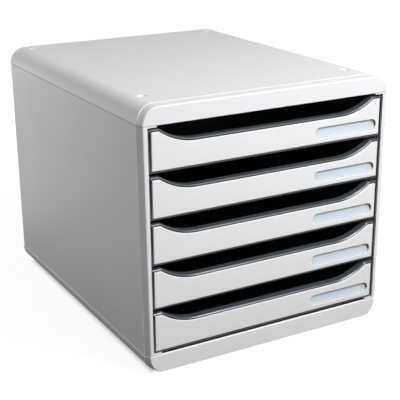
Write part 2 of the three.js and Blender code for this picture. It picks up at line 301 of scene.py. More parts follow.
BACK_PANEL_FRONT_Y = BACK_PANEL_BACK_Y - BACK_PANEL_THICKNESS
LEDGE_END_Y = BACK_PANEL_FRONT_Y - FIT_GAP
STACK_BOTTOM = SIDE_BOTTOM + BOTTOM_FLANGE_THICKNESS + STACK_BOTTOM_CLEARANCE
STACK_TOP = SIDE_TOP - TOP_FLANGE_THICKNESS - STACK_TOP_CLEARANCE
FRONT_HEIGHT = (STACK_TOP - STACK_BOTTOM - (DRAWER_COUNT - 1) * DRAWER_GAP) / DRAWER_COUNT
DRAWER_PITCH = FRONT_HEIGHT + DRAWER_GAP
FRONT_HALF_WIDTH = OPENING_HALF_WIDTH - DRAWER_SIDE_CLEARANCE
FRONT_DEPTH = RECESS_DEPTH + FRONT_WALL
LEDGE_FRONT_Y = FRONT_Y + FRONT_DEPTH + CLOSING_CLEARANCE
TRAY_LENGTH = BACK_PANEL_FRONT_Y - CLOSING_CLEARANCE - FRONT_Y
RUNNER_TOP = FRONT_HEIGHT - RUNNER_DROP
RUNNER_BOTTOM = RUNNER_TOP - RUNNER_THICKNESS
RUNNER_HALF_WIDTH = OPENING_HALF_WIDTH - RUNNER_SIDE_CLEARANCE
TRAY_HALF_WIDTH = RUNNER_HALF_WIDTH - RUNNER_WIDTH
LEDGE_HALF_WIDTH = TRAY_HALF_WIDTH + LEDGE_SIDE_CLEARANCE
LEDGE_TOP = RUNNER_BOTTOM - FIT_GAP
EAR_HALF_WIDTH = INNER_HALF_WIDTH - STOP_EAR_CLEARANCE
EAR_FRONT = FASCIA_THICKNESS + DRAWER_TRAVEL + FIT_GAP
SHOULDER_Z = FRONT_HEIGHT - SHOULDER_RADIUS
WAVE_Z = FRONT_HEIGHT - WAVE_DEPTH + WAVE_RADIUS
ARC_RUN = math.sqrt((WAVE_RADIUS + SHOULDER_RADIUS) ** 2 - (WAVE_Z - SHOULDER_Z) ** 2)
SHOULDER_X = FRONT_HALF_WIDTH - SHOULDER_WIDTH
WAVE_X = SHOULDER_X - ARC_RUN
WAVE_TURN = math.atan2(ARC_RUN, WAVE_Z - SHOULDER_Z)
POCKET_DEPTH = RECESS_DEPTH - LABEL_POCKET_WALL
LABEL_RIGHT = FRONT_HALF_WIDTH - LABEL_SIDE_MARGIN
LABEL_LEFT = LABEL_RIGHT - LABEL_SLOT_WIDTH
LABEL_X = (LABEL_LEFT + LABEL_RIGHT) / 2
LABEL_Z = LABEL_BOTTOM_MARGIN + LABEL_SLOT_HEIGHT / 2
CARD_LEFT = LABEL_LEFT + CARD_LEFT_MARGIN
CARD_RIGHT = LABEL_RIGHT - CARD_RIGHT_MARGIN
CARD_X = (CARD_LEFT + CARD_RIGHT) / 2
CARD_HALF_LENGTH = (CARD_RIGHT - CARD_LEFT) / 2


# Shader nodes

def put(tree, socket, value):
    """Sets a socket to a value, or links it to another node's output."""
    if isinstance(value, bpy.types.NodeSocket):
        tree.links.new(value, socket)
    else:
        socket.default_value = value


def add_node(tree, kind, inputs, **settings):
    node = tree.nodes.new(f"ShaderNode{kind}")
    for name, value in settings.items():
        setattr(node, name, value)
    for key, value in inputs.items():
        put(tree, node.inputs[key], value)
    return node


def combined(tree, operation, value, other=0):
    """What a Math node makes of two values."""
    return add_node(tree, "Math", {0: value, 1: other}, operation=operation).outputs["Value"]


def ranged(tree, value, start, end, low, high, curve="LINEAR"):
    """Takes a value from the range start to end over to the range low to high."""
    return add_node(tree, "MapRange", {
        "Value": value, "From Min": start, "From Max": end, "To Min": low, "To Max": high,
    }, interpolation_type=curve).outputs["Result"]


class Finish:
    """A material with a node tree around one Principled BSDF."""

    def __init__(self, name, color, roughness):
        self.material = bpy.data.materials.new(name)
        self.material.use_nodes = True
        self.tree = self.material.node_tree
        self.shader = self.tree.nodes["Principled BSDF"]
        self.place = add_node(self.tree, "TexCoord", {}).outputs["Object"]
        self.set("Base Color", (*color, 1))
        self.set("Roughness", roughness)

    def set(self, name, value):
        put(self.tree, self.shader.inputs[name], value)

    def noise(self, scale, detail, stretch=(1, 1, 1), rough=0.5):
        mapping = add_node(self.tree, "Mapping", {"Scale": stretch, "Vector": self.place})
        place = mapping.outputs["Vector"]
        return add_node(self.tree, "TexNoise", {
            "Scale": scale, "Detail": detail, "Roughness": rough, "Vector": place,
        }).outputs["Fac"]

    def mix_colors(self, factor, first, second):
        """Links the colour to a mix that goes from first to second as factor goes from 0 to 1."""
        mix = add_node(self.tree, "Mix", {
            "Factor": factor, "A": (*first, 1), "B": (*second, 1)}, data_type="RGBA")
        self.set("Base Color", mix.outputs["Result"])

    def bumps(self, layers):
        """Bump layers of (height, strength, distance in mm), the coarsest first."""
        normal = None
        for height, strength, distance in layers:
            inputs = {"Height": height, "Strength": strength, "Distance": distance * MM}
            if normal is not None:
                inputs["Normal"] = normal
            normal = add_node(self.tree, "Bump", inputs).outputs["Normal"]
        self.set("Normal", normal)


# Materials

def moulded_plastic(name, color, mottle_share, roughness, spread, ripple, grain, specular):
    """Injection-moulded plastic: fine spark-eroded grain, slow ripple and a faint mottle."""
    finish = Finish(name, color, roughness)
    tree = finish.tree
    mottle = ranged(tree, finish.noise(**MOTTLE), *CONTRAST_SHARES, 0, 1)
    finish.mix_colors(mottle, [channel * (1 - mottle_share) for channel in color], color)
    smear = finish.noise(**SMEAR)
    smoothest = roughness - spread
    roughest = roughness + spread
    finish.set("Roughness", ranged(tree, smear, *CONTRAST_SHARES, smoothest, roughest))
    finish.bumps([(finish.noise(**RIPPLE), ripple, RIPPLE_HEIGHT),
                  (finish.noise(**GRAIN), grain, GRAIN_HEIGHT)])
    finish.set("Specular IOR Level", specular)
    return finish.material


def clear_plastic():
    """Clear styrene that takes a pale green tint beyond the card's ends."""
    finish = Finish("clear_plastic", WINDOW_COLOR, WINDOW_ROUGHNESS)
    tree = finish.tree
    smear = finish.noise(**WINDOW_SMEAR)
    finish.set("Roughness", ranged(tree, smear, *CONTRAST_SHARES, *WINDOW_ROUGHNESS_LIMITS))
    finish.bumps([(finish.noise(**WINDOW_RIPPLE), *WINDOW_BUMP)])
    parts = add_node(tree, "SeparateXYZ", {"Vector": finish.place})
    to_right = combined(tree, "SUBTRACT", parts.outputs["X"], CARD_X * MM)
    from_middle = combined(tree, "ABSOLUTE", to_right)
    tint_end = CARD_HALF_LENGTH + WINDOW_END_BLUR
    beyond_card = ranged(tree, from_middle, CARD_HALF_LENGTH * MM, tint_end * MM, 0, 1)
    finish.mix_colors(beyond_card, WINDOW_MIDDLE_COLOR, WINDOW_END_COLOR)
    finish.set("Alpha", WINDOW_ALPHA)
    return finish.material


def card_paper():
    finish = Finish("card_paper", CARD_COLOR, CARD_ROUGHNESS)
    fibres = finish.noise(**CARD_FIBRES)
    shade = ranged(finish.tree, fibres, *CONTRAST_SHARES, 0, 1)
    finish.mix_colors(shade, CARD_DARK_COLOR, CARD_PALE_COLOR)
    finish.bumps([(fibres, *CARD_BUMP)])
    return finish.material


def foot_rubber():
    finish = Finish("foot_rubber", FOOT_COLOR, FOOT_ROUGHNESS)
    dust = ranged(finish.tree, finish.noise(**FOOT_DUST), *FOOT_DUST_SHARES, 0, 1)
    finish.mix_colors(dust, FOOT_DARK_COLOR, FOOT_PALE_COLOR)
    finish.bumps([(finish.noise(**FOOT_GRAIN), *FOOT_BUMP)])
    return finish.material


MATERIALS = {name: moulded_plastic(name, **values) for name, values in PLASTICS.items()}
MATERIALS["clear_plastic"] = clear_plastic()
MATERIALS["card_paper"] = card_paper()
MATERIALS["foot_rubber"] = foot_rubber()


# Outlines and meshes

class Shape:
    """Points in millimetres and the faces between them."""

    def __init__(self):
        self.points = []
        self.faces = []

    def add_ring(self, ring):
        """Adds the points of a ring and returns the number of its first one."""
        start = len(self.points)
        self.points.extend(ring)
        return start

    def add_face(self, outline):
        start = self.add_ring(outline)
        self.faces.append(tuple(range(start, start + len(outline))))

    def loft(self, rings, closed=True, first_cap=False, last_cap=False):
        """Quads between rings of the same number of points. Returns each ring's first point."""
        count = len(rings[0])
        starts = [self.add_ring(ring) for ring in rings]
        spans = count if closed else count - 1
        for lower, upper in zip(starts, starts[1:]):
            for i in range(spans):
                j = (i + 1) % count
                self.faces.append((lower + i, lower + j, upper + j, upper + i))
        if first_cap:
            self.faces.append(tuple(starts[0] + i for i in reversed(range(count))))
        if last_cap:
            self.faces.append(tuple(starts[-1] + i for i in range(count)))
        return starts

    def solid_loft(self, rings):
        self.loft(rings, first_cap=True, last_cap=True)

    def box(self, low, high, edge):
        """A box with a small flat along each of its edges."""
        (x0, y0, z0), (x1, y1, z1) = low, high
        x0, x1 = sorted((x0, x1))
        levels = ((z0, edge), (z0 + edge, 0), (z1 - edge, 0), (z1, edge))
        self.solid_loft([chamfered(x0 + inset, x1 - inset, y0 + inset, y1 - inset, z, edge)
                         for z, inset in levels])


def chamfered(x0, x1, y0, y1, z, edge):
    """A rectangle at height z with its corners cut off."""
    return [
        (x1 - edge, y0, z), (x1, y0 + edge, z), (x1, y1 - edge, z), (x1 - edge, y1, z),
        (x0 + edge, y1, z), (x0, y1 - edge, z), (x0, y0 + edge, z), (x0 + edge, y0, z),
    ]


def rolled(radius, steps=SMALL_STEPS):
    """A quarter round as (run, rise), from (0, radius) down to (radius, 0)."""
    turns = [QUARTER * i / steps for i in range(steps + 1)]
    return [(radius * (1 - math.cos(turn)), radius * (1 - math.sin(turn))) for turn in turns]


def arc(x, z, radius, start, end, steps):
    """Points (x, z, nx, nz) of an arc with its circle's outward normal."""
    points = []
    for i in range(steps + 1):
        angle = start + (end - start) * i / steps
        nx = math.cos(angle)
        nz = math.sin(angle)
        points.append((x + radius * nx, z + radius * nz, nx, nz))
    return points


def without_normals(points):
    return [(x, z) for x, z, nx, nz in points]


def rounded_outline(x0, x1, z0, z1, top_radius, bottom_radius, steps):
    """A rectangle with round corners, drawn anticlockwise."""
    left_top = x0 + top_radius
    right_top = x1 - top_radius
    left_low = x0 + bottom_radius
    right_low = x1 - bottom_radius
    return [
        *arc(right_top, z1 - top_radius, top_radius, 0, QUARTER, steps),
        *arc(left_top, z1 - top_radius, top_radius, QUARTER, 2 * QUARTER, steps),
        *arc(left_low, z0 + bottom_radius, bottom_radius, 2 * QUARTER, 3 * QUARTER, steps),
        *arc(right_low, z0 + bottom_radius, bottom_radius, 3 * QUARTER, 4 * QUARTER, steps),
    ]


def add_object(name, data):
    thing = bpy.data.objects.new(name, data)
    bpy.context.scene.collection.objects.link(thing)
    return thing


def start_mesh(name, shape):
    """A mesh of the Shape in metres, and the bmesh in which it is worked on."""
    mesh = bpy.data.meshes.new(name)
    mesh.from_pydata([(x * MM, y * MM, z * MM) for x, y, z in shape.points], [], shape.faces)
    work = bmesh.new()
    work.from_mesh(mesh)
    return mesh, work


def end_mesh(name, mesh, work):
    """Turns the normals out and makes the Blender object."""
    bmesh.ops.recalc_face_normals(work, faces=work.faces)
    work.to_mesh(mesh)
    work.free()
    return add_object(name, mesh)


def object_from(name, shape):
    """Makes a Blender object from a Shape, with its doubled points merged."""
    mesh, work = start_mesh(name, shape)
    bmesh.ops.remove_doubles(work, verts=work.verts, dist=MERGE_DISTANCE * MM)
    bmesh.ops.dissolve_degenerate(work, edges=work.edges, dist=MERGE_DISTANCE * MM)
    return end_mesh(name, mesh, work)


def object_with_filled_face(name, shape, outlines):
    """Makes a Blender object from a Shape and fills the flat face between two outlines."""
    mesh, work = start_mesh(name, shape)
    work.verts.ensure_lookup_table()
    edges = []
    for start, count in outlines:
        for i in range(count):
            pair = (work.verts[start + i], work.verts[start + (i + 1) % count])
            edges.append(work.edges.get(pair) or work.edges.new(pair))
    bmesh.ops.triangle_fill(work, use_beauty=True, use_dissolve=False, edges=edges)
    bmesh.ops.remove_doubles(work, verts=work.verts, dist=FACE_MERGE_DISTANCE * MM)
    return end_mesh(name, mesh, work)


def trim(thing, point, direction, radius):
    """Cuts off what lies beyond a plane, on direction's side, and rounds the cut's edges."""
    plane = Vector(point) * MM
    outward = Vector(direction).normalized()
    work = bmesh.new()
    work.from_mesh(thing.data)
    for step, (run, rise) in enumerate(reversed(rolled(radius))):
        everything = [*work.verts, *work.edges, *work.faces]
        bmesh.ops.bisect_plane(
            work, geom=everything, dist=TRIM_GAP * MM, plane_co=plane - outward * rise * MM,
            plane_no=outward, clear_outer=step == 0)
    work.normal_update()
    moves = []
    for vertex in work.verts:
        height = 1 - (plane - vertex.co).dot(outward) / (radius * MM)
        if height > 0:
            inset = radius * MM * (1 - math.sqrt(max(1 - height * height, 0)))
            inward = vertex.normal - outward * vertex.normal.dot(outward)
            moves.append((vertex, inward.normalized() * inset))
    for vertex, move in moves:
        vertex.co -= move
    open_edges = [edge for edge in work.edges if edge.is_boundary]
    bmesh.ops.holes_fill(work, edges=open_edges)
    work.to_mesh(thing.data)
    work.free()


def bake_modifiers(thing):
    """Turns the object's modifiers into plain mesh."""
    bpy.context.view_layer.update()
    graph = bpy.context.evaluated_depsgraph_get()
    mesh = bpy.data.meshes.new_from_object(thing.evaluated_get(graph), depsgraph=graph)
    old = thing.data
    thing.modifiers.clear()
    thing.data = mesh
    bpy.data.meshes.remove(old)
    mesh.name = thing.name


def finish_piece(thing, body, slot, replaced, sharp_degrees=SHARP_DEGREES):
    """Shading, material and the piece's place in the frame."""
    thing.data.shade_smooth()
    thing.data.set_sharp_from_angle(angle=math.radians(sharp_degrees))
    modifier = thing.modifiers.new("normals", "WEIGHTED_NORMAL")
    modifier.keep_sharp = True
    thing.data.materials.clear()
    thing.data.materials.append(MATERIALS[slot])
    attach(thing, body)
    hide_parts(replaced)


# Cabinet pieces

def cabinet_outline(half, inset):
    return rounded_outline(
        -half + inset, half - inset, UNDERSIDE + inset, CABINET_HEIGHT - inset,
        TOP_CORNER_RADIUS - inset, BOTTOM_CORNER_RADIUS - inset, CORNER_STEPS)


def edge_profile(nx, nz, depth_end, up_share):
    """(depth, inset) of the shell's rings from its front edge over its back edge to its inside."""
    side = nx * nx
    top = nz * nz if nz > 0 else 0
    bottom = nz * nz if nz < 0 else 0
    fillet = side * SIDE_FILLET + top * TOP_FILLET + bottom * BOTTOM_FILLET
    side_draft = SIDE_BAND_LOW_DRAFT + (SIDE_BAND_DRAFT - SIDE_BAND_LOW_DRAFT) * up_share
    draft = side * side_draft + top * TOP_BAND_DRAFT + bottom * BOTTOM_BAND_DRAFT
    side_band = SIDE_BAND_LOW_DEPTH + (SIDE_BAND_DEPTH - SIDE_BAND_LOW_DEPTH) * up_share
    band = side * side_band + top * TOP_BAND_DEPTH + bottom * BOTTOM_BAND_DEPTH
    wall = side * SIDE_BAND_WALL + top * TOP_BAND_WALL + bottom * BOTTOM_BAND_WALL
    crest = min(CREST_FILLET, wall)
    crest_start = band + BAND_WALL_RUN
    return [
        *[(run, draft + rise) for run, rise in rolled(fillet, FILLET_STEPS)],
        (band, wall),
        *[(crest_start + run, rise) for run, rise in rolled(crest)],
        (crest_start + crest + CREST_FLAT, 0),
        (band + CREST_SLOPE_RUN, BAND_STEP),
        *[(depth_end - rise, BAND_STEP + run) for run, rise in rolled(BACK_EDGE_FILLET)],
        (depth_end, SHELL_INSET),
        *[(FASCIA_THICKNESS + rise, SHELL_INSET + run) for run, rise in rolled(INNER_FILLET)],
    ]


def height_share(z):
    """0 at the cabinet's underside, 1 at its top."""
    return (z - UNDERSIDE) / (CABINET_HEIGHT - UNDERSIDE)


def leaned(x, z):
    """Moves x towards the middle by its side's lean, in full at the underside, not at the top."""
    lean = RIGHT_LEAN if x > 0 else LEFT_LEAN
    return x - math.copysign(lean * (1 - height_share(z)), x)


def cabinet_shell(name, half, back_y, upright=True, front_y=FRONT_Y, shift=0):
    """The hollow shell of the whole cabinet, open at the back, with its front wall whole."""
    outline = [(x + shift if upright else leaned(x, z), z, nx, nz)
               for x, z, nx, nz in cabinet_outline(half, 0)]
    profiles = [edge_profile(nx, nz, back_y - front_y, height_share(z)) for x, z, nx, nz in outline]
    rings = []
    for level in zip(*profiles):
        rings.append([(x - nx * inset, front_y + depth, z - nz * inset)
                      for (x, z, nx, nz), (depth, inset) in zip(outline, level)])
    shape = Shape()
    shape.solid_loft(rings)
    return object_from(name, shape)


def foot_places():
    """The name and place of each foot. The dimples in the top lie above the feet."""
    foot_x = HALF_WIDTH - FOOT_SIDE_INSET
    for row, y in (("front", FRONT_Y + FOOT_FRONT_INSET), ("back", BACK_Y - FOOT_BACK_INSET)):
        for side, x in (("left", -foot_x), ("right", foot_x)):
            yield f"foot_{row}_{side}", x, y


def lathe(shape, x, y, profile):
    """A solid about an upright axis, from a profile of (radius, z)."""
    turns = [4 * QUARTER * i / ROUND_STEPS for i in range(ROUND_STEPS)]
    rings = []
    for radius, z in profile:
        rings.append([(x + radius * math.cos(turn), y + radius * math.sin(turn), z) for turn in turns])
    shape.solid_loft(rings)


def dimple_cutter():
    """The round cutters that press the four stacking dimples into the top."""
    top = CABINET_HEIGHT - BAND_STEP
    floor = top - DIMPLE_DEPTH
    profile = [
        *[(DIMPLE_RADIUS - rise, floor + run) for run, rise in rolled(DIMPLE_FLOOR_FILLET)],
        *[(DIMPLE_RADIUS + run, top - rise) for run, rise in rolled(DIMPLE_LIP)],
        (DIMPLE_RADIUS + DIMPLE_LIP, top + DIMPLE_DEPTH),
    ]
    shape = Shape()
    for name, x, y in foot_places():
        lathe(shape, x, y, profile)
    return object_from("dimple_cutter", shape)


def make_top_cover():
    cover = cabinet_shell("cover_shell", HALF_WIDTH, BACK_Y)
    trim(cover, (0, 0, COVER_BOTTOM), (0, 0, -1), SHELL_EDGE)
    cutter = dimple_cutter()
    press = cover.modifiers.new("dimples", "BOOLEAN")
    press.object = cutter
    press.operation = "DIFFERENCE"
    press.solver = "EXACT"
    bake_modifiers(cover)
    bpy.data.objects.remove(cutter)
    finish_piece(cover, "cabinet", "shell_plastic", "top_cover")


def make_base():
    base = cabinet_shell("base_shell", BASE_HALF_WIDTH, BACK_Y,
                         front_y=FRONT_Y + BASE_FRONT_INSET, shift=BASE_SHIFT)
    trim(base, (0, 0, BASE_TOP), (0, 0, 1), BASE_EDGE)
    rail = Shape()
    rail_y = FRONT_Y + BASE_RAIL_SETBACK
    rail_half = OPENING_HALF_WIDTH - LEFT_LEAN - CORNER_FLANGE_WIDTH - FIT_GAP
    rail.box((-rail_half, rail_y, BASE_TOP - BASE_EDGE - SHELL_WALL),
             (rail_half, rail_y + BASE_RAIL_THICKNESS, BASE_TOP + BASE_RAIL_TOP), FLANGE_EDGE)
    rail_piece = object_from("base_rail", rail)
    finish_piece(base, "cabinet", "shell_plastic", "base")
    finish_piece(rail_piece, "cabinet", "shell_plastic", "base")


def wall_middle(side, z):
    return leaned(side * (INNER_HALF_WIDTH + SHELL_WALL / 2), z)


def drawer_numbers():
    return range(1, DRAWER_COUNT + 1)


def drawer_z(number):
    """The height of a drawer's lower edge. Drawer 1 is the top one."""
    return STACK_BOTTOM + (DRAWER_COUNT - number) * DRAWER_PITCH


def make_side_panel(side, name):
    """The side's shell with its front jamb, and a second piece with its flanges and ledges."""
    panel = cabinet_shell(f"{name}_side_shell", HALF_WIDTH, SIDE_BACK_Y, upright=False)
    trim(panel, (0, 0, SIDE_TOP), (0, 0, 1), SHELL_EDGE)
    trim(panel, (0, 0, SIDE_BOTTOM), (0, 0, -1), SHELL_EDGE)
    opening_top = Vector((side * OPENING_HALF_WIDTH, 0, CABINET_HEIGHT))
    opening_foot = Vector((leaned(side * OPENING_HALF_WIDTH, UNDERSIDE), 0, UNDERSIDE))
    edge_run = (opening_top - opening_foot).normalized()
    trim(panel, opening_foot, (-side * edge_run.z, 0, side * edge_run.x), SHELL_EDGE)
    inner = Shape()
    wall_y = FRONT_Y + SIDE_BAND_DEPTH
    for low_z, high_z in ((SIDE_TOP - TOP_FLANGE_THICKNESS, SIDE_TOP),
                          (SIDE_BOTTOM, SIDE_BOTTOM + BOTTOM_FLANGE_THICKNESS)):
        opening_x = leaned(side * OPENING_HALF_WIDTH, low_z)
        flange_x = opening_x - side * CORNER_FLANGE_WIDTH
        jamb_corner = (opening_x + side * SHELL_EDGE, wall_y + SIDE_BAND_DEPTH, high_z)
        wall_corner = (wall_middle(side, low_z), LEDGE_END_Y, high_z)
        inner.box((flange_x, FRONT_Y, low_z), jamb_corner, FLANGE_EDGE)
        inner.box((flange_x, wall_y, low_z), wall_corner, FLANGE_EDGE)
    for number in drawer_numbers():
        top = drawer_z(number) + LEDGE_TOP
        inner.box((side * LEDGE_HALF_WIDTH, LEDGE_FRONT_Y, top - LEDGE_THICKNESS),
                  (wall_middle(side, top), LEDGE_END_Y, top), LEDGE_EDGE)
    ledges = object_from(f"{name}_side_ledges", inner)
    finish_piece(panel, "cabinet", "shell_plastic", f"{name}_side_panel")
    finish_piece(ledges, "cabinet", "shell_plastic", f"{name}_side_panel")


def make_back_panel():
    """A plate whose border stands proud of its field."""
    edge = LEDGE_EDGE
    inset = SHELL_INSET + FIT_GAP
    field = inset + BACK_FRAME_WIDTH
    levels = [
        (inset + edge, BACK_PANEL_FRONT_Y),
        (inset, BACK_PANEL_FRONT_Y + edge),
        (inset, BACK_PANEL_BACK_Y - edge),
        (inset + edge, BACK_PANEL_BACK_Y),
        (field - 2 * edge, BACK_PANEL_BACK_Y),
        (field - edge, BACK_PANEL_BACK_Y - edge / 2),
        (field, BACK_PANEL_BACK_Y - BACK_FRAME_HEIGHT),
    ]
    rings = []
    for level_inset, y in levels:
        outline = without_normals(cabinet_outline(HALF_WIDTH, level_inset))
        rings.append([(leaned(x, z), y, z) for x, z in outline])
    shape = Shape()
    shape.solid_loft(rings)
    panel = object_from("back_plate", shape)
    finish_piece(panel, "cabinet", "shell_plastic", "back_panel")


def make_feet():
    seat = UNDERSIDE + BAND_STEP
    half_chamfer = FOOT_CHAMFER / 2
    profile = [
        (FOOT_RADIUS - 2 * FOOT_CHAMFER, 0),
        (FOOT_RADIUS - FOOT_CHAMFER, 0),
        (FOOT_RADIUS - half_chamfer, half_chamfer),
        (FOOT_RADIUS, FOOT_CHAMFER),
        (FOOT_RADIUS, seat),
        (FOOT_STEM_RADIUS, seat),
        (FOOT_STEM_RADIUS, seat + FOOT_STEM_LENGTH),
    ]
    for name, x, y in foot_places():
        shape = Shape()
        lathe(shape, x, y, profile)
        foot = object_from(f"{name}_pad", shape)
        finish_piece(foot, "cabinet", "foot_rubber", name)


# Outlines of a drawer: depths run back from the front plane, heights up from its lower edge

def placed(points, depth, drawer):
    """Puts points (x, height) at a depth of the drawer whose lower edge is at z = drawer."""
    return [(x, FRONT_Y + depth, drawer + height) for x, height in points]


def wave_line(inset, half, radius):
    """The front's upper edge from its right corner to its left one, drawn in by inset."""
    level = FRONT_HEIGHT - inset
    wave_end = QUARTER + WAVE_TURN
    right = without_normals([
        *arc(half - radius, level - radius, radius, 0, QUARTER, SMALL_STEPS),
        *arc(SHOULDER_X, SHOULDER_Z, SHOULDER_RADIUS - inset, QUARTER, wave_end, SHOULDER_STEPS),
        *arc(WAVE_X, WAVE_Z, WAVE_RADIUS + inset, WAVE_TURN - QUARTER, -QUARTER, WAVE_STEPS)[1:],
    ])
    return [*right, *[(-x, z) for x, z in reversed(right)]]


def front_ring(drawer, insets, depths, radius):
    """The front's outline with insets and depths for its sides, its bottom and its wave."""
    side_inset, bottom_inset, top_inset = insets
    side_depth, bottom_depth, top_depth = depths
    half = FRONT_HALF_WIDTH - side_inset
    radius = max(radius, LEAST_RADIUS)
    bottom = without_normals([
        *arc(-half + radius, bottom_inset + radius, radius, 2 * QUARTER, 3 * QUARTER, SMALL_STEPS),
        *arc(half - radius, bottom_inset + radius, radius, 3 * QUARTER, 4 * QUARTER, SMALL_STEPS),
    ])
    side_height = FRONT_HEIGHT - top_inset - FRAME_CORNER_RADIUS - FRAME_SIDE_SETBACK
    return [
        *placed(bottom, bottom_depth, drawer),
        *placed([(half, side_height)], side_depth, drawer),
        *placed(wave_line(top_inset, half, radius), top_depth, drawer),
        *placed([(-half, side_height)], side_depth, drawer),
    ]


def panel_ring(drawer, low_inset, top_inset, low_depth, top_depth, radius):
    """The outline of the frame's place for the white front, drawn in by insets."""
    insets = (FRAME_SIDE + low_inset, FRAME_BOTTOM_EDGE + low_inset, FRAME_TOP_EDGE + top_inset)
    return front_ring(drawer, insets, (low_depth, low_depth, top_depth), radius)


def label_outline(inset):
    radius = LABEL_SLOT_RADIUS - inset
    half_height = LABEL_SLOT_HEIGHT / 2 - inset
    return without_normals(rounded_outline(
        LABEL_LEFT + inset, LABEL_RIGHT - inset, LABEL_Z - half_height, LABEL_Z + half_height,
        radius, radius, LABEL_STEPS))


# Drawer pieces

def add_frame(shape, drawer):
    """The front frame: its wave edge stands near the front, its sides and bottom further back."""
    back_depths = (FRONT_DEPTH, FRONT_DEPTH, FRONT_DEPTH)
    rings = [front_ring(drawer, (0, 0, 0), back_depths, FRAME_CORNER_RADIUS)]
    for i, (inset, depth) in enumerate(rolled(FRAME_FILLET)):
        bevel_share = i / SMALL_STEPS
        insets = (inset, inset, bevel_share * FRAME_BEVEL_HEIGHT)
        depths = (FRAME_SIDE_SETBACK + depth, FRAME_BOTTOM_SETBACK + depth,
                  FRAME_TOP_SETBACK + (1 - bevel_share) * FRAME_BEVEL_DEPTH)
        rings.append(front_ring(drawer, insets, depths, FRAME_CORNER_RADIUS - inset))
    rim_insets = (FRAME_SIDE + RIM_INSET, FRAME_BOTTOM_EDGE + RIM_INSET,
                  FRAME_TOP_EDGE - FRAME_INNER_EDGE)
    rim_depths = (FRAME_SIDE_SETBACK, FRAME_BOTTOM_SETBACK, FRAME_TOP_SETBACK)
    rings.append(front_ring(drawer, rim_insets, rim_depths, 0))
    rim = RIM_INSET + RIM_WIDTH
    for low_inset, low_depth, top_depth in (
            (RIM_INSET, PANEL_EDGE_DEPTH, FRAME_TOP_SETBACK + FRAME_INNER_EDGE),
            (rim, PANEL_EDGE_DEPTH, RECESS_DEPTH),
            (rim, RECESS_DEPTH, RECESS_DEPTH)):
        rings.append(panel_ring(drawer, low_inset, 0, low_depth, top_depth, 0))
    shape.solid_loft(rings)


def add_lip(shape, drawer):
    """The lip that rolls back from the frame along the wave."""
    half_fillet = LIP_FILLET / 2
    quarter_fillet = LIP_FILLET / 4
    section = (
        (0, FRONT_DEPTH),
        (0, LIP_DEPTH - LIP_FILLET),
        (quarter_fillet, LIP_DEPTH - quarter_fillet),
        (LIP_FILLET, LIP_DEPTH),
        (LIP_THICKNESS - half_fillet, LIP_DEPTH),
        (LIP_THICKNESS, LIP_DEPTH - half_fillet),
        (LIP_THICKNESS, FRONT_DEPTH),
    )
    lines = [placed(wave_line(inset, RUNNER_HALF_WIDTH - inset, FRAME_CORNER_RADIUS), depth, drawer)
             for inset, depth in section]
    shape.solid_loft([list(points) for points in zip(*lines)])


def tub_chain():
    """Plan points (x, y, nx, ny) of the tub's wall, from its right front end to its left one."""
    radius = TRAY_CORNER_RADIUS
    half = TRAY_HALF_WIDTH
    corner_y = TRAY_LENGTH - radius
    return [
        (half, FRONT_DEPTH, 1, 0),
        *arc(half - radius, corner_y, radius, 0, QUARTER, FILLET_STEPS),
        *arc(-half + radius, corner_y, radius, QUARTER, 2 * QUARTER, FILLET_STEPS),
        (-half, FRONT_DEPTH, -1, 0),
    ]


def tub_section(flange):
    """(distance out from the wall's outer face, height) round the wall, from underside to floor."""
    rim = TRAY_RIM_FILLET
    floor_top = TRAY_FLOOR_LIFT + TRAY_WALL
    return [
        *[(-rise, TRAY_FLOOR_LIFT + run) for run, rise in rolled(TRAY_UNDER_FILLET)],
        (0, RUNNER_BOTTOM),
        (flange, RUNNER_BOTTOM),
        (flange, RUNNER_TOP - rim),
        (flange - rim / 2, RUNNER_TOP - rim / 4),
        (flange - rim, RUNNER_TOP),
        (-TRAY_WALL + rim, RUNNER_TOP),
        (-TRAY_WALL + rim / 4, RUNNER_TOP - rim / 4),
        (-TRAY_WALL, RUNNER_TOP - rim),
        *[(-TRAY_WALL - run, floor_top + rise)
          for run, rise in rolled(TRAY_FLOOR_FILLET, FILLET_STEPS)],
    ]


def add_tub(shape, drawer):
    """The box of the tray: walls, rolled rim, runner flanges and floor, closed at its front end."""
    sections = []
    for x, y, nx, ny in tub_chain():
        sections.append([(x + nx * out, FRONT_Y + y + ny * out, drawer + height)
                         for out, height in tub_section(RUNNER_WIDTH * nx * nx)])
    shape.loft(sections, closed=False)
    shape.add_face([section[0] for section in sections])
    shape.add_face([section[-1] for section in sections])
    shape.add_face([*sections[0], *reversed(sections[-1])])


def add_stop_ears(shape, drawer):
    ear_y = FRONT_Y + EAR_FRONT
    for side in (-1, 1):
        root = side * (TRAY_HALF_WIDTH + TRAY_WALL)
        shape.box((root, ear_y, drawer + RUNNER_BOTTOM),
                  (side * EAR_HALF_WIDTH, ear_y + STOP_EAR_LENGTH, drawer + RUNNER_TOP), LEDGE_EDGE)


def make_tray(number):
    drawer = drawer_z(number)
    shape = Shape()
    add_frame(shape, drawer)
    add_lip(shape, drawer)
    add_tub(shape, drawer)
    add_stop_ears(shape, drawer)
    tray = object_from(f"drawer_{number}_tub", shape)
    finish_piece(tray, f"drawer_{number}", "tray_plastic", f"drawer_{number}_tray")


